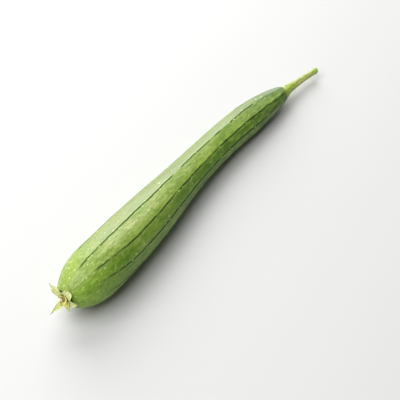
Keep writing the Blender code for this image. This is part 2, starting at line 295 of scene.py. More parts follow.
def closed_mesh(name, bodies):
    """Mesh of closed bodies, each a grid of rings with a middle point closing both of its ends.

    Rings run along a grid's first axis and points round them along its second. A body whose faces point
    inward, which its volume shows, has them turned round. Each named value becomes an attribute.
    """
    corners, faces, values = [], [], {}
    offset = 0
    for grid, named in bodies:
        rows, around = grid.shape[:2]
        count = rows * around
        points = np.vstack([grid.reshape(-1, 3), grid[0].mean(0), grid[-1].mean(0)])
        index = np.arange(count).reshape(rows, around)
        beside = np.roll(index, -1, axis=1)
        quads = np.stack([index[:-1], beside[:-1], beside[1:], index[1:]], axis=-1).reshape(-1, 4)
        near = np.stack([beside[0], index[0], np.full(around, count)], axis=-1)
        far = np.stack([index[-1], beside[-1], np.full(around, count + 1)], axis=-1)
        caps = np.vstack([near, far])
        thirds = np.vstack([quads[:, :3], quads[:, (0, 2, 3)], caps])
        first, second, third = (points[thirds[:, i]] - points[0] for i in range(3))
        if np.sum(first * np.cross(second, third)) < 0.0:
            quads, caps = quads[:, ::-1], caps[:, ::-1]
        faces += (quads + offset).tolist() + (caps + offset).tolist()
        corners.append(points)
        for key, value in named.items():
            closed = np.append(value.ravel(), (value[0].mean(), value[-1].mean()))
            values.setdefault(key, []).append(closed)
        offset += len(points)
    mesh = bpy.data.meshes.new(name)
    mesh.from_pydata(np.vstack(corners), [], faces)
    for key, value in values.items():
        mesh.attributes.new(key, "FLOAT", "POINT").data.foreach_set("value", np.concatenate(value))
    mesh.shade_smooth()
    return mesh


def add_piece(name, bodies, node):
    """Piece that stands for a CAD node, hung under the root body, with the node's imported part hidden."""
    piece = bpy.data.objects.new(name, closed_mesh(name, bodies))
    bpy.context.scene.collection.objects.link(piece)
    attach(piece, "root")
    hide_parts(node)
    return piece


def paint(red, green, blue):
    """A colour as it looks on a screen, from 0 to 255, as the linear numbers that shaders use."""
    screen = np.array((red, green, blue)) / 255.0
    linear = np.where(screen > 0.04045, ((screen + 0.055) / 1.055) ** 2.4, screen / 12.92)
    return (*linear.tolist(), 1.0)


class Tint:
    """A shader socket. Sums and products of sockets and numbers add Math nodes, node() adds any other."""

    def __init__(self, tree, socket=None):
        self.tree = tree
        self.socket = socket

    def node(self, kind, settings, inputs, output=0):
        """One output of a new node, whose settings are set before the values and links of its inputs."""
        made = self.tree.nodes.new(kind)
        for name, value in settings.items():
            setattr(made, name, value)
        for name, value in inputs.items():
            if isinstance(value, Tint):
                self.tree.links.new(value.socket, made.inputs[name])
            else:
                made.inputs[name].default_value = value
        return Tint(self.tree, made.outputs[output])

    def other(self, output):
        """Another output of the same node."""
        return Tint(self.tree, self.socket.node.outputs[output])

    def feed(self, shader, name):
        """Links this socket to an input of the main shader."""
        self.tree.links.new(self.socket, shader.inputs[name])

    def maths(self, operation, first, second=0.0):
        """One or two values put through a Math node."""
        return self.node("ShaderNodeMath", {"operation": operation}, {0: first, 1: second})

    def __add__(self, value):
        return self.maths("ADD", self, value)

    def __sub__(self, value):
        return self.maths("SUBTRACT", self, value)

    def __rsub__(self, value):
        return self.maths("SUBTRACT", value, self)

    def __mul__(self, value):
        return self.maths("MULTIPLY", self, value)

    def __truediv__(self, value):
        return self.maths("DIVIDE", self, value)

    def __rtruediv__(self, value):
        return self.maths("DIVIDE", value, self)

    __radd__ = __add__
    __rmul__ = __mul__

    def rise(self, low, high):
        """0 at low, 1 at high, and smooth between; high may be the smaller one."""
        inputs = {"Value": self, "From Min": low, "From Max": high}
        return self.node("ShaderNodeMapRange", {"interpolation_type": "SMOOTHSTEP"}, inputs)

    def mix(self, way, first, second, amount):
        """Two colours put through a Mix node, by an amount from 0 to 1."""
        settings = {"data_type": "RGBA", "blend_type": way}
        return self.node("ShaderNodeMix", settings, {0: amount, 6: first, 7: second}, 2)

    def between(self, first, second):
        """The first colour where this is 0, the second where it is 1, and a mix of both between."""
        return self.mix("MIX", first, second, self)

    def toward(self, colour, amount):
        """This colour mixed with another by an amount from 0 to 1."""
        return self.mix("MIX", self, colour, amount)

    def scaled(self, factors, amount):
        """This colour, its red, green and blue multiplied by the factors by an amount from 0 to 1."""
        return self.mix("MULTIPLY", self, (*factors, 1.0), amount)

    def attribute(self, name):
        """A value that the piece's mesh carries."""
        return self.node("ShaderNodeAttribute", {"attribute_name": name}, {}, "Fac")

    def place(self):
        """The point in the object's own coordinates."""
        return self.node("ShaderNodeTexCoord", {}, {}, "Object")

    def drawn_out(self, share):
        """This point with its X multiplied by a share, which draws a pattern on it out along the gourd."""
        settings = {"operation": "MULTIPLY"}
        return self.node("ShaderNodeVectorMath", settings, {0: self, 1: (share, 1.0, 1.0)})

    def ragged(self, scale, reach):
        """This point moved by noise times the reach, which makes the edges of a pattern on it ragged."""
        noise = self.node("ShaderNodeTexNoise", {}, {"Vector": self, "Scale": scale, "Detail": 2.0}, "Color")
        settings = {"operation": "MULTIPLY_ADD"}
        return self.node("ShaderNodeVectorMath", settings, {0: noise, 1: (reach, reach, reach), 2: self})

    def clouds(self, scale, detail=2.0):
        """Soft noise on this point, whose middle is 0.5."""
        return self.node("ShaderNodeTexNoise", {}, {"Vector": self, "Scale": scale, "Detail": detail})

    def specks(self, scale, radius, kept):
        """Dots of that radius, in cells, about the cells' points, of which only the kept share shows."""
        cells = self.node("ShaderNodeTexVoronoi", {}, {"Vector": self, "Scale": scale})
        chance = self.node("ShaderNodeSeparateColor", {}, {"Color": cells.other("Color")}, "Red")
        return cells.rise(radius * 1.7, radius * 0.4) * chance.rise(kept + 0.01, kept - 0.01)

    def relief(self, shader):
        """Bumps on the main shader, with this as their height in millimetres."""
        bump = self.node("ShaderNodeBump", {}, {"Strength": 1.0, "Distance": 0.001, "Height": self})
        bump.feed(shader, "Normal")


def new_material(piece):
    """Material of the piece: a start for its shader sums, and its main shader."""
    material = bpy.data.materials.new(piece.name)
    material.use_nodes = True
    piece.data.materials.append(material)
    return Tint(material.node_tree), material.node_tree.nodes["Principled BSDF"]


# Colours of the skin. Rows of three bare numbers are factors on the red, green and blue under them.
SKIN_GREEN = paint(110, 138, 44)
SKIN_PALE = paint(130, 153, 62)
DARK_PATCH = paint(86, 122, 32)
PALE_PATCH = paint(156, 172, 92)
DARK_STREAK = paint(88, 118, 34)
PALE_FIBRE = paint(144, 166, 80)
DARK_FIBRE = paint(78, 108, 28)
BLOSSOM_END_GREEN = paint(152, 174, 82)
# A painted sheen on the facets in front of and behind the top ridge, where the lamps' reflection falls.
FRONT_PAINTED_SHEEN = (1.42, 1.26, 2.3)
BACK_PAINTED_SHEEN = paint(126, 134, 88)
# Painted shade on the top facets behind the top ridge.
TOP_SHADE = (0.84, 0.87, 0.72)
# Deeper green on the lower front, partly the skin's own and partly painted shade, and more painted shade
# there.
LOWER_GREEN_AND_SHADE = paint(66, 102, 16)
LOWER_SHADE = (0.84, 1.02, 0.60)
SHOULDER_GREEN = paint(84, 112, 42)
SHOULDER_RIB = paint(36, 66, 20)
# A painted highlight on the shoulder's front facet and a painted grey sheen at its top.
SHOULDER_PAINTED_LIGHT = paint(134, 158, 92)
SHOULDER_PAINTED_SHEEN = paint(112, 128, 108)
# Lighter on the neck's lower front, taking back part of the painted shade there.
NECK_LIGHT = (1.24, 1.26, 1.12)
DARK_BLOTCH = paint(22, 54, 6)
PALE_BLOTCH = paint(132, 166, 56)
DARK_MOTTLE = (0.66, 0.72, 0.52)
PALE_MOTTLE = (1.34, 1.26, 1.42)
DARK_GRAIN = (0.72, 0.77, 0.62)
PALE_GRAIN = (1.26, 1.22, 1.30)
LINE_MARGIN = paint(142, 166, 76)
LINE_BORDER = paint(70, 106, 14)
LINE_GREEN = paint(18, 48, 0)
FLECK = paint(206, 223, 138)
DARK_SPECK = paint(70, 100, 28)
COLLAR_GREEN = paint(144, 168, 44)
# The collar's pale top is a painted highlight.
COLLAR_PAINTED_HIGHLIGHT = paint(188, 200, 128)
SKIN_ROUGHNESS = 0.42
SKIN_GLOSS = 0.38
# Half the dark line's width and how it varies, and how far from it the border and the margin fade out.
LINE_WIDTH = 0.00062
LINE_UNEVENNESS = 0.0005
SHOULDER_WIDENING = 0.0002
BORDER_FADE = (0.0020, 0.0006)
MARGIN_FADE = (0.0034, 0.0020)
# The last of the fruit wears the stem's collar, whose ragged edge reaches further down on the lower front.
COLLAR_START = 0.3876
COLLAR_EDGE = 0.0007
COLLAR_RAGGEDNESS = 0.005
COLLAR_LOBE = 0.0026
# How far noise pulls the flecks and the dark specks out of round.
FLECK_RAGGEDNESS = 0.0026


def skin_patterns(start):
    """What the skin's colours share: the mesh's values, points on the skin, and soft noise of three kinds.

    Along is in metres from the blossom end. Around counts ridges from 0 at the top one to 10, going first
    down the side that faces -Y. Near_ridge is 1 on a ridge and 0 midway between two, and near_tip is 1 at
    the blossom end.
    """
    skin = SimpleNamespace()
    skin.along = start.attribute("along")
    skin.around = start.attribute("around")
    skin.near_ridge = start.attribute("near_ridge")
    skin.line_distance = start.attribute("line_distance")
    skin.line_strength = start.attribute("line_strength")
    skin.near_tip = skin.along.rise(0.11, 0.02)
    skin.place = start.place()
    skin.long_place = skin.place.drawn_out(0.12)
    skin.clouds = skin.place.clouds(22.0, 3.0)
    skin.patches = skin.place.drawn_out(0.35).clouds(95.0, 3.0)
    skin.streaks = skin.long_place.clouds(260.0, 3.0)
    return skin


def ground_green(skin):
    """Clouded green with darker and paler patches, dark streaks, and fine fibres along the fruit."""
    fine = skin.place.drawn_out(0.10).clouds(640.0)
    colour = skin.clouds.rise(0.35, 0.65).between(SKIN_GREEN, SKIN_PALE)
    colour = colour.toward(DARK_PATCH, 0.48 * skin.patches.rise(0.52, 0.66))
    colour = colour.toward(PALE_PATCH, 0.42 * skin.patches.rise(0.48, 0.34))
    colour = colour.toward(DARK_STREAK, 0.4 * skin.streaks.rise(0.48, 0.72))
    colour = colour.toward(PALE_FIBRE, 0.45 * fine.rise(0.52, 0.72))
    return colour.toward(DARK_FIBRE, 0.45 * fine.rise(0.46, 0.28))


def tint_facets(skin, colour):
    """Paler blossom end, painted sheen and shade by the top ridge, and deeper green, partly painted shade,
    low in front.
    """
    along, around = skin.along, skin.around
    patchy = skin.patches - 0.5
    colour = colour.toward(BLOSSOM_END_GREEN, 0.6 * (along + 0.02 * skin.clouds).rise(0.085, 0.015))
    # Painted sheen: paler and greyer on the facets beside the top ridge, where the lamps light the skin
    # most.
    sheen_length = along.rise(0.025, 0.075) * (along + 0.03 * patchy).rise(0.32, 0.14)
    colour = colour.scaled(FRONT_PAINTED_SHEEN, around.rise(1.0, 0.35) * sheen_length)
    colour = colour.toward(BACK_PAINTED_SHEEN, 0.6 * around.rise(7.6, 9.2) * along.rise(0.02, 0.08))
    # Painted shade that darkens the lamp-lit top facets behind the top ridge.
    colour = colour.scaled(TOP_SHADE, around.rise(7.8, 9.2) * along.rise(0.12, 0.20))
    before_back = around.rise(4.6, 3.4)
    # Deeper green on the lower front facets, partly the skin's own colour and partly painted shade.
    deeper = around.rise(0.8, 1.5) * before_back * (along + 0.04 * patchy).rise(0.13, 0.24)
    colour = colour.toward(LOWER_GREEN_AND_SHADE, 0.6 * deeper)
    # Painted shade on the lower front facets.
    return colour.scaled(LOWER_SHADE, around.rise(0.9, 1.6) * before_back)


def deepen_shoulder(skin, colour):
    """Deeper green toward the stem, darkest on the ridges, a painted highlight before the top one, painted
    sheen behind.

    Returns the colour and how far the shoulder's own green has set in.
    """
    along, around = skin.along, skin.around
    patchy = skin.patches - 0.5
    streaky = skin.streaks - 0.5
    shoulder = (along + 0.05 * streaky + 0.05 * patchy).rise(0.285, 0.372)
    colour = colour.toward(SHOULDER_GREEN, 0.75 * shoulder)
    ribs = (skin.near_ridge + 1.6 * streaky + 1.4 * patchy).rise(0.2, 0.9)
    colour = colour.toward(SHOULDER_RIB, 0.75 * shoulder * ribs)
    # Painted highlight on the shoulder's facet in front of the top ridge.
    front = around.rise(1.05, 0.75) * (along + 0.03 * patchy).rise(0.25, 0.36)
    colour = colour.toward(SHOULDER_PAINTED_LIGHT, 0.6 * front)
    # Painted grey sheen on the shoulder's top, just before the collar.
    grey_length = (along + 0.02 * (skin.clouds - 0.5)).rise(0.352, 0.374)
    grey = (around + 2.0 * patchy).rise(8.9, 9.5) * grey_length
    return colour.toward(SHOULDER_PAINTED_SHEEN, 0.6 * grey), shoulder


def mottle_skin(skin, colour, shoulder):
    """Blotches on the neck's lower front, dark ones mostly by its lines, and mottling and grain all over."""
    blotches = skin.place.drawn_out(0.4).clouds(280.0)
    below = skin.around.rise(0.55, 0.95) * skin.around.rise(4.4, 3.4) * skin.along.rise(0.16, 0.27)
    dark_blotches = blotches.rise(0.50, 0.58) * (0.4 + 0.6 * skin.near_ridge.rise(0.3, 0.85))
    # Lighter on the neck's lower front, which takes back part of the painted shade there.
    colour = colour.scaled(NECK_LIGHT, below)
    colour = colour.toward(DARK_BLOTCH, 0.80 * dark_blotches * below)
    colour = colour.toward(PALE_BLOTCH, 0.64 * blotches.rise(0.48, 0.38) * below)
    mottle = skin.place.drawn_out(0.5).clouds(330.0)
    strength = 0.62 + 0.30 * shoulder - 0.34 * skin.around.rise(8.6, 9.2)
    colour = colour.scaled(DARK_MOTTLE, strength * mottle.rise(0.49, 0.70))
    colour = colour.scaled(PALE_MOTTLE, strength * mottle.rise(0.51, 0.30))
    grain = skin.place.drawn_out(0.4).clouds(900.0, 1.0)
    colour = colour.scaled(DARK_GRAIN, 0.36 * grain.rise(0.50, 0.70))
    return colour.scaled(PALE_GRAIN, 0.36 * grain.rise(0.50, 0.30))


def draw_lines(skin, colour):
    """Dark line on each ridge, broken and uneven in width, in a deeper border and a pale margin.

    Returns the colour, and how much of the line and of the margin shows at each point.
    """
    line_start = skin.along.rise(0.11, 0.04)
    margin = skin.line_distance.rise(*MARGIN_FADE) * skin.line_strength
    border = (skin.line_distance - 0.0003 * line_start).rise(*BORDER_FADE) * skin.line_strength
    colour = colour.toward(LINE_MARGIN, 0.35 * margin)
    colour = colour.toward(LINE_BORDER, 0.55 * border)
    uneven = LINE_UNEVENNESS * (skin.place.clouds(160.0) - 0.5)
    width = LINE_WIDTH + uneven + SHOULDER_WIDENING * skin.along.rise(0.29, 0.36)
    line = (skin.line_distance / width).rise(1.5, 0.6) * skin.line_strength
    broken = skin.long_place.clouds(420.0, 1.0).rise(0.30, 0.45)
    colour = colour.toward(LINE_GREEN, (0.95 - 0.25 * line_start) * line * broken)
    return colour, line, margin


def strew_flecks(skin, colour, margin):
    """Pale ragged dots and dashes, more of them at the blossom end and beside the lines, and dark specks.

    Returns the colour, and where the flecks are.
    """
    ragged_place = skin.place.ragged(900.0, FLECK_RAGGEDNESS)
    share = (0.11 + 0.34 * skin.near_tip) * (1.0 - 0.45 * skin.around.rise(8.6, 9.2))
    dots = ragged_place.specks(260.0, 0.19, share + 0.22 * margin)
    dashes = ragged_place.drawn_out(0.4).specks(330.0, 0.20, share)
    flecks = colour.maths("MAXIMUM", dots, dashes) * skin.along.rise(0.372, 0.34)
    colour = colour.toward(FLECK, 0.85 * flecks)
    dark_specks = ragged_place.specks(260.0, 0.14, 0.10 + 0.40 * skin.near_tip)
    return colour.toward(DARK_SPECK, 0.6 * dark_specks), flecks


def add_collar(skin, colour):
    """The stem's yellow-green collar, with a painted highlight on the two facets beside the top ridge."""
    lobe = COLLAR_LOBE * skin.around.rise(0.3, 1.4) * skin.around.rise(4.6, 3.2)
    ragged = skin.along + COLLAR_RAGGEDNESS * (skin.place.clouds(300.0) - 0.5) + lobe
    collar = ragged.rise(COLLAR_START - COLLAR_EDGE, COLLAR_START + COLLAR_EDGE)
    # Painted highlight on the collar's top facets.
    top = skin.around.rise(8.0, 9.3) + skin.around.rise(1.0, 0.3)
    return colour.toward(top.between(COLLAR_GREEN, COLLAR_PAINTED_HIGHLIGHT), collar)


def paint_fruit(piece):
    """Waxy skin: mottled green, painted sheen and shade, deeper shoulder, dark lines, pale flecks and the
    collar.

    Its relief is of streaks, fine grain, raised flecks and sunken lines, with bumps that are strongest at
    the blossom end.
    """
    start, shader = new_material(piece)
    skin = skin_patterns(start)
    colour = tint_facets(skin, ground_green(skin))
    colour, shoulder = deepen_shoulder(skin, colour)
    colour = mottle_skin(skin, colour, shoulder)
    colour, line, margin = draw_lines(skin, colour)
    colour, flecks = strew_flecks(skin, colour, margin)
    add_collar(skin, colour).feed(shader, "Base Color")
    (SKIN_ROUGHNESS + 0.12 * (skin.clouds - 0.5) + 0.5 * line).feed(shader, "Roughness")
    height = 0.06 * skin.streaks + 0.05 * skin.place.clouds(900.0) + 0.12 * flecks - 0.15 * line
    height = height + (0.25 + 0.75 * skin.near_tip) * skin.place.clouds(230.0, 1.0)
    height.relief(shader)
    shader.inputs["Specular IOR Level"].default_value = SKIN_GLOSS


fruit = add_piece("fruit_skin", [fruit_body()], "fruit")
paint_fruit(fruit)

# Stem: the cut end of the stalk that the gourd hung from, green and fibrous, with five blunt ribs. It flares
# into a pale collar where it joins the fruit, and its far end was cut through on a slant with a knife.

STEM_LENGTH = 0.0575
STEM_RADIUS = 0.0032
STEM_FLARE = 0.0038
STEM_FLARE_LENGTH = 0.018
STEM_RIBS = 5
STEM_RIB_DEPTH = 0.06
STEM_DROOP = 0.0016
FIBRE_DEPTH = 0.00008
CUT_SWELL = 0.0004
CUT_SWELL_LENGTH = 0.003
CUT_SLANT = 0.35
CUT_SLANT_LENGTH = 0.007
# Outer and inner ring of the cut face as shares of its edge, and its hollow, full from one share inward.
CUT_RINGS = (0.96, 0.06)
CUT_ROWS = 10
CUT_HOLLOW = 0.0003
HOLLOW_EDGE = 0.6
# Turn of the stem's upper +Y side, which the lamps light most and which gets painted shade.
SHADED_SIDE_TURN = np.radians(305.0)
STEM_ROWS = 180
STEM_COLUMNS = 120
# Space left where one piece stands on another.
GAP = 0.0003

STEM_GREEN = paint(156, 176, 62)
STEM_PALE = paint(176, 184, 102)
STEM_FIBRE = paint(140, 154, 66)
STEM_END_GREEN = paint(136, 186, 76)
# Painted shade on the stem's lamp-lit upper side.
STEM_PAINTED_SHADE = (0.74, 0.75, 0.64)
DARK_BLOT = (0.70, 0.73, 0.58)
PALE_BLOT = (1.28, 1.24, 1.42)
STEM_MARK = paint(112, 116, 60)
CUT_RIM = paint(150, 132, 70)
CUT_GREEN = paint(146, 206, 112)
CUT_MIDDLE = paint(186, 222, 150)


def stem_body():
    """Stalk carried along its drooping path, then the cut face drawn in to its middle.

    The radius is the plain one, plus a flare that dies off from the fruit and a swelling at the cut, times
    the ribs' cosine, plus the fibres' fine waves. The cut face is hollowed a little inside its rim.
    """
    turn = np.radians(np.arange(STEM_COLUMNS) * 360.0 / STEM_COLUMNS)
    even, turn = np.meshgrid(np.linspace(0.0, 1.0, STEM_ROWS), turn, indexing="ij")
    along, side, up = directions(np.float64(1.0))
    distance = even * STEM_LENGTH
    radius = STEM_RADIUS + STEM_FLARE * np.exp(-distance / STEM_FLARE_LENGTH)
    radius += CUT_SWELL * np.exp((distance - STEM_LENGTH) / CUT_SWELL_LENGTH)
    past_flare = np.clip(distance / STEM_FLARE_LENGTH, 0.0, 1.0)
    radius *= 1.0 + STEM_RIB_DEPTH * np.cos(STEM_RIBS * turn) * past_flare
    fibres = waves((5.0 * np.cos(turn), 5.0 * np.sin(turn), 0.8 * even), seed=21, count=12, pace=1.0)
    radius += FIBRE_DEPTH * fibres * past_flare
    near_cut = np.clip(1.0 - (STEM_LENGTH - distance) / CUT_SLANT_LENGTH, 0.0, 1.0)
    slant = CUT_SLANT * radius * np.cos(turn) * near_cut
    around = np.sin(turn)[..., None] * side + np.cos(turn)[..., None] * up
    points = middle_line(np.float64(1.0)) + (distance + slant + GAP)[..., None] * along
    points = points + (STEM_DROOP * even**2)[..., None] * (side - up) / np.sqrt(2.0)
    middle = points[-1].mean(0)
    points += radius[..., None] * around
    inward = np.linspace(*CUT_RINGS, CUT_ROWS)[:, None, None]
    hollow = CUT_HOLLOW * rise(inward, CUT_RINGS[0], HOLLOW_EDGE) * along
    cut = middle + (points[-1] - middle) * inward - hollow
    shares = np.repeat(1.0 - inward[:, 0], STEM_COLUMNS, axis=1)
    values = {
        "along": np.vstack([distance, np.full_like(shares, STEM_LENGTH)]),
        "inward": np.vstack([np.zeros_like(distance), shares]),
        "painted_shade_side": np.vstack([np.cos(turn - SHADED_SIDE_TURN), np.zeros_like(shares)]),
    }
    return np.concatenate([points, cut]), values


def paint_stem(piece):
    """Yellow-green stalk, streaked and mottled, greener by the cut, with painted shade along its lamp-lit
    upper +Y side.

    The cut face is green, with a brown rim and a pale middle.
    """
    start, shader = new_material(piece)
    along = start.attribute("along")
    inward = start.attribute("inward")
    place = start.place()
    half_place = place.drawn_out(0.5)
    streaks = place.drawn_out(0.08).clouds(900.0, 3.0)
    colour = along.rise(0.004, 0.026).between(STEM_GREEN, STEM_PALE)
    colour = colour.toward(STEM_FIBRE, 0.5 * streaks.rise(0.45, 0.7))
    colour = colour.toward(STEM_END_GREEN, 0.7 * along.rise(0.046, 0.056))
    # Painted shade that darkens the stem's lamp-lit upper +Y side.
    colour = colour.scaled(STEM_PAINTED_SHADE, start.attribute("painted_shade_side").rise(0.3, 0.95))
    blots = half_place.clouds(650.0)
    colour = colour.scaled(DARK_BLOT, 0.95 * blots.rise(0.49, 0.60))
    colour = colour.scaled(PALE_BLOT, 0.95 * blots.rise(0.51, 0.40))
    colour = colour.toward(STEM_MARK, 0.7 * half_place.specks(420.0, 0.14, 0.20))
    cut = inward.rise(0.10, 0.34).between(CUT_RIM, CUT_GREEN)
    cut = cut.toward(CUT_MIDDLE, 0.7 * inward.rise(0.55, 0.8))
    colour.toward(cut, inward.rise(0.02, 0.10)).feed(shader, "Base Color")
    (0.5 + 0.15 * (streaks - 0.5)).feed(shader, "Roughness")
    (0.08 * streaks + 0.03 * place.clouds(2200.0)).relief(shader)


stem = add_piece("stem_stalk", [stem_body()], "stem")
paint_stem(stem)

# Calyx: the short cup left at the blossom end, with five pointed sepals that grew from its rim. It has dried
# pale and papery. Some sepals point out and two are folded back on the fruit.

CUP_RADIUS = 0.0076
CUP_HEIGHT = 0.0032
CUP_WALL = 0.0015
CUP_FLOOR = 0.0012
CUP_UNEVENNESS = 0.02
CUP_COLUMNS = 144
SEPAL_THICKNESS = 0.0006
SEPAL_ROOT = 0.0014
SEPAL_ROOT_HEIGHT = 0.0024
SEPAL_CAMBER = 0.12
SEPAL_RUFFLE = 0.0004
SEPAL_SEED = 40
SEPALS = (
    # turn, spread at the root, further curl to the tip, twist, length, width, taper, swell
    (293.0, 84.0, 14.0, 42.0, 0.0165, 0.0076, 1.8, 4.0),
    (24.0, 58.0, 100.0, 0.0, 0.0100, 0.0118, 0.45, 0.5),
    (82.0, 66.0, 64.0, 0.0, 0.0120, 0.0078, 1.3, 2.2),
    (146.0, 56.0, 30.0, 0.0, 0.0080, 0.0080, 0.6, 0.9),
    (204.0, 34.0, -10.0, 0.0, 0.0190, 0.0058, 1.7, 3.6),
)
# Width left at a leaf's tip, thickness lost by there and ruffle of its whole face, as shares, and how
# sharply the ruffle of its edges sets in.
LEAF_TIP = 0.05
LEAF_THINNING = 0.6
FACE_RUFFLE = 0.4
EDGE_RUFFLE_POWER = 1.5
LEAF_SEED_STEP = 7
LEAF_ROWS = 60
LEAF_COLUMNS = 48

SEPAL_GREEN = paint(196, 206, 116)
SEPAL_PALE = paint(222, 228, 166)
SEPAL_MIDRIB = paint(150, 158, 62)
SEPAL_VEIN = paint(176, 184, 90)
SEPAL_TIP = paint(150, 138, 104)
VEINS_ACROSS = 16.0
VEINS_ALONG = 26.0


def dimple_frame():
    """Middle of the dimple's floor, a gap above it, the way out of it, and its side and up directions."""
    base, out, side, up = end_frame()
    return base + (GAP - DIMPLE_DEPTH) * out, out, side, up


def turned_body(profile, columns, uneven):
    """A profile of radius and height turned round the way out of the blossom end, its radius made uneven."""
    base, out, side, up = dimple_frame()
    turn = np.radians(np.arange(columns) * 360.0 / columns)
    circle = np.sin(turn)[:, None] * side + np.cos(turn)[:, None] * up
    radius, height = np.array(profile).T[..., None]
    rough = 1.0 + uneven * waves((np.cos(turn), np.sin(turn), 90.0 * height), seed=31, count=8, pace=1.0)
    return base + height[..., None] * out + (radius * rough)[..., None] * circle


def leaf_body(leaf, root, height, camber, thickness, ruffle, seed):
    """Pointed leaf: a flat oval section carried along a curve that leans further out as it goes.

    The width follows (1 - s)^taper (1 + swell s), and the section turns by the twist over the first half.
    The camber raises both edges, and the ruffle waves the leaf more and more toward them.
    """
    turn, spread, curl, twist, length, width, taper, swell = leaf
    base, out, side, up = dimple_frame()
    angle = np.radians(turn)
    outward = np.sin(angle) * side + np.cos(angle) * up
    level = np.cos(angle) * side - np.sin(angle) * up
    s = np.linspace(0.0, 1.0, LEAF_ROWS)
    lean = np.radians(spread + curl * s)[:, None]
    run = np.cos(lean) * out + np.sin(lean) * outward
    back = np.cos(lean) * outward - np.sin(lean) * out
    steps = (run[1:] + run[:-1]) / 2.0 * length / (LEAF_ROWS - 1)
    middle = base + root * outward + height * out + np.vstack([np.zeros(3), np.cumsum(steps, axis=0)])
    turned = np.radians(twist) * np.minimum(2.0 * s, 1.0)[:, None]
    across = np.cos(turned) * level + np.sin(turned) * back
    face = np.cos(turned) * back - np.sin(turned) * level
    section = np.radians(np.arange(LEAF_COLUMNS) * 360.0 / LEAF_COLUMNS)
    s, section = np.meshgrid(s, section, indexing="ij")
    v = np.cos(section)
    spans = width * np.maximum((1.0 - s) ** taper * (1.0 + swell * s), LEAF_TIP)
    edge_waves = np.abs(v) ** EDGE_RUFFLE_POWER * waves((1.6 * s, 0.8 * v), seed, count=6, pace=1.0)
    face_waves = FACE_RUFFLE * waves((2.6 * s, 1.5 * v), seed + 1, count=6, pace=1.0) * rise(s, 0.0, 0.3)
    lift = spans * camber * v**2 + ruffle * (edge_waves + face_waves)
    lift -= thickness / 2.0 * np.sin(section) * (1.0 - LEAF_THINNING * s)
    sideways = (spans * v / 2.0)[..., None] * across[:, None]
    return middle[:, None] + sideways - lift[..., None] * face[:, None], {"along": s, "across": v}


def calyx_bodies():
    """The cup turned round the blossom end, and its sepals with their roots sunk in its wall."""
    inner = CUP_RADIUS - CUP_WALL
    profile = (
        (0.20 * CUP_RADIUS, 0.0),
        (0.50 * CUP_RADIUS, 0.0),
        (0.78 * CUP_RADIUS, 0.0),
        (0.87 * CUP_RADIUS, 0.45 * DIMPLE_DEPTH),
        (0.93 * CUP_RADIUS, DIMPLE_DEPTH),
        (0.99 * CUP_RADIUS, 0.60 * CUP_HEIGHT),
        (1.00 * CUP_RADIUS, 0.80 * CUP_HEIGHT),
        (0.97 * CUP_RADIUS, 0.95 * CUP_HEIGHT),
        (0.92 * CUP_RADIUS, 1.00 * CUP_HEIGHT),
        (0.86 * CUP_RADIUS, 0.99 * CUP_HEIGHT),
        (inner, 0.93 * CUP_HEIGHT),
        (0.98 * inner, 0.70 * CUP_HEIGHT),
        (0.95 * inner, 0.50 * CUP_HEIGHT),
        (0.85 * inner, CUP_FLOOR),
        (0.30 * inner, CUP_FLOOR),
    )
    cup = turned_body(profile, CUP_COLUMNS, CUP_UNEVENNESS)
    flat = np.zeros(cup.shape[:2])
    bodies = [(cup, {"along": flat, "across": flat})]
    place = (CUP_RADIUS - SEPAL_ROOT, SEPAL_ROOT_HEIGHT)
    for number, sepal in enumerate(SEPALS):
        seed = SEPAL_SEED + LEAF_SEED_STEP * number
        bodies.append(leaf_body(sepal, *place, SEPAL_CAMBER, SEPAL_THICKNESS, SEPAL_RUFFLE, seed))
    return bodies


def paint_calyx(piece):
    """Dry pale yellow-green sepals with a darker midrib and fine veins, and thin grey-brown tips."""
    start, shader = new_material(piece)
    along = start.attribute("along")
    from_midrib = start.maths("ABSOLUTE", start.attribute("across"))
    veins = start.maths("SINE", VEINS_ACROSS * from_midrib + VEINS_ALONG * along)
    clouds = start.place().clouds(330.0, 3.0)
    past_root = along.rise(0.02, 0.1)
    colour = clouds.rise(0.35, 0.6).between(SEPAL_GREEN, SEPAL_PALE)
    colour = colour.toward(SEPAL_MIDRIB, 0.5 * from_midrib.rise(0.14, 0.04) * past_root)
    colour = colour.toward(SEPAL_VEIN, 0.3 * veins.rise(0.5, 1.0) * past_root)
    colour = colour.toward(SEPAL_TIP, 0.85 * (along + 0.2 * clouds).rise(0.92, 1.06))
    colour.feed(shader, "Base Color")
    (0.62 + 0.2 * (clouds - 0.5)).feed(shader, "Roughness")
    (0.10 * clouds + 0.05 * veins - 0.12 * from_midrib.rise(0.10, 0.02)).relief(shader)


calyx = add_piece("calyx_sepals", calyx_bodies(), "calyx")
paint_calyx(calyx)

# Withered flower: what is left of the yellow petals, shrivelled and stuck together round the stub of the
# style. It sits in the calyx's cup, pale yellow where it spills out and brown inside.

FLOWER_RADIUS = 0.0044
FLOWER_HEIGHT = 0.0022
FLOWER_UNEVENNESS = 0.06
FLOWER_COLUMNS = 96
STYLE_RADIUS = 0.0009
STYLE_HEIGHT = 0.0050
PETAL_ROOT = 0.0026
PETAL_ROOT_HEIGHT = 0.0008
PETAL_THICKNESS = 0.0005
PETAL_CAMBER = 0.10
PETAL_RUFFLE = 0.0007
PETAL_SEED = 90
PETALS = (
    # turn, spread at the root, further curl to the tip, twist, length, width, taper, swell
    (115.0, 24.0, 60.0, -50.0, 0.0078, 0.0040, 0.8, 4.0),
    (45.0, 20.0, 80.0, -50.0, 0.0080, 0.0040, 0.8, 4.0),
    (185.0, 14.0, 50.0, -30.0, 0.0072, 0.0036, 0.8, 4.0),
    (330.0, 20.0, 70.0, 20.0, 0.0070, 0.0038, 0.8, 4.0),
)

PETAL_BROWN = paint(150, 130, 62)
PETAL_PALE = paint(214, 212, 118)
PETAL_SPOT = paint(160, 148, 62)


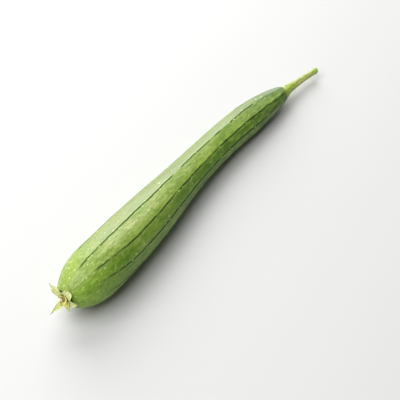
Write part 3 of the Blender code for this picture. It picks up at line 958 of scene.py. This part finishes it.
def flower_bodies():
    """The low disc with the style's stub on it, and crumpled petals that rise from it and bend over."""
    profile = (
        (0.20 * FLOWER_RADIUS, 0.0),
        (0.70 * FLOWER_RADIUS, 0.0),
        (1.00 * FLOWER_RADIUS, 0.15 * FLOWER_HEIGHT),
        (1.02 * FLOWER_RADIUS, 0.45 * FLOWER_HEIGHT),
        (0.90 * FLOWER_RADIUS, 0.80 * FLOWER_HEIGHT),
        (0.75 * FLOWER_RADIUS, 1.00 * FLOWER_HEIGHT),
        (0.45 * FLOWER_RADIUS, 1.05 * FLOWER_HEIGHT),
        (1.6 * STYLE_RADIUS, 1.10 * FLOWER_HEIGHT),
        (1.1 * STYLE_RADIUS, 1.30 * FLOWER_HEIGHT),
        (1.0 * STYLE_RADIUS, 1.60 * FLOWER_HEIGHT),
        (1.2 * STYLE_RADIUS, 0.92 * STYLE_HEIGHT),
        (1.0 * STYLE_RADIUS, 1.00 * STYLE_HEIGHT),
        (0.4 * STYLE_RADIUS, 0.97 * STYLE_HEIGHT),
    )
    floor = CUP_FLOOR + GAP
    raised = [(radius, height + floor) for radius, height in profile]
    disc = turned_body(raised, FLOWER_COLUMNS, FLOWER_UNEVENNESS)
    flat = np.zeros(disc.shape[:2])
    bodies = [(disc, {"along": flat, "across": flat})]
    place = (PETAL_ROOT, floor + PETAL_ROOT_HEIGHT)
    for number, petal in enumerate(PETALS):
        seed = PETAL_SEED + LEAF_SEED_STEP * number
        bodies.append(leaf_body(petal, *place, PETAL_CAMBER, PETAL_THICKNESS, PETAL_RUFFLE, seed))
    return bodies


def paint_flower(piece):
    """Shrivelled petals: brown in the cup, pale yellow toward their tips, with brown spots."""
    start, shader = new_material(piece)
    place = start.place()
    clouds = place.clouds(500.0, 3.0)
    pale = (start.attribute("along") + 0.5 * (clouds - 0.5)).rise(0.05, 0.35)
    colour = pale.between(PETAL_BROWN, PETAL_PALE)
    colour = colour.toward(PETAL_SPOT, 0.5 * place.clouds(900.0).rise(0.55, 0.7))
    colour.feed(shader, "Base Color")
    (0.75 + 0.2 * (clouds - 0.5)).feed(shader, "Roughness")
    (0.15 * clouds).relief(shader)


flower = add_piece("withered_petals", flower_bodies(), "withered_flower")
paint_flower(flower)

# Floor: a plain pale matt board under the gourd, wide enough to fill the view from any side. It is no part
# of the gourd.

FLOOR_SIZE = 40.0
FLOOR_COLOUR = (0.56, 0.56, 0.555, 1.0)
FLOOR_ROUGHNESS = 0.9
FLOOR_GLOSS = 0.1

corners = np.array(((-1, -1, 0), (1, -1, 0), (1, 1, 0), (-1, 1, 0))) * FLOOR_SIZE / 2.0
board = bpy.data.meshes.new("floor")
board.from_pydata(corners, [], [(0, 1, 2, 3)])
floor = bpy.data.objects.new("floor", board)
bpy.context.scene.collection.objects.link(floor)
_, floor_shader = new_material(floor)
floor_shader.inputs["Base Color"].default_value = FLOOR_COLOUR
floor_shader.inputs["Roughness"].default_value = FLOOR_ROUGHNESS
floor_shader.inputs["Specular IOR Level"].default_value = FLOOR_GLOSS

# Light: one soft box high above the blossom end, a stronger and lower one behind the stem's end, and a pale
# room that fills the shadows.

LIGHTS = (
    # name, place, width and height, power in watts
    ("soft_box_above", (-0.80, 0.32, 1.48), (1.6, 1.6), 36.0),
    ("soft_box_behind", (0.98, 1.26, 1.03), (1.6, 2.1), 62.0),
)
ROOM_COLOUR = (1.0, 1.0, 1.0, 1.0)
ROOM_STRENGTH = 0.12


def looking(place, back):
    """Matrix of a lamp or camera at a place, whose own Z points back and whose X stays level."""
    right = unit(np.cross((0.0, 0.0, 1.0), back))
    columns = np.stack([right, np.cross(back, right), back, place], axis=1)
    return Matrix(np.vstack([columns, (0.0, 0.0, 0.0, 1.0)]).tolist())


for name, place, size, power in LIGHTS:
    lamp = bpy.data.lights.new(name, "AREA")
    lamp.shape = "RECTANGLE"
    lamp.size, lamp.size_y = size
    lamp.energy = power
    lamp_object = bpy.data.objects.new(name, lamp)
    bpy.context.scene.collection.objects.link(lamp_object)
    lamp_object.matrix_world = looking(place, unit(np.array(place)))
    lamp_object.visible_camera = False

world = bpy.data.worlds.new("room")
world.use_nodes = True
world.node_tree.nodes["Background"].inputs["Color"].default_value = ROOM_COLOUR
world.node_tree.nodes["Background"].inputs["Strength"].default_value = ROOM_STRENGTH
bpy.context.scene.world = world
bpy.context.scene.view_settings.view_transform = "Standard"

# Camera: looks down on the gourd from beyond its blossom end, at the photograph's angle. Its turn is counted
# from -Y toward +X and its height from the level, both in degrees.

CAMERA_TURN = -53.23
CAMERA_HEIGHT = 50.0
CAMERA_AIM = np.array((-0.0273, -0.0238, 0.02))
CAMERA_DISTANCE = 1.0291
CAMERA_LENS = 85.0

turn, height = np.radians((CAMERA_TURN, CAMERA_HEIGHT))
back = np.array((np.sin(turn) * np.cos(height), -np.cos(turn) * np.cos(height), np.sin(height)))
lens = bpy.data.cameras.new("camera")
lens.lens = CAMERA_LENS
camera = bpy.data.objects.new("camera", lens)
bpy.context.scene.collection.objects.link(camera)
camera.matrix_world = looking(CAMERA_AIM + CAMERA_DISTANCE * back, back)
bpy.context.scene.camera = camera
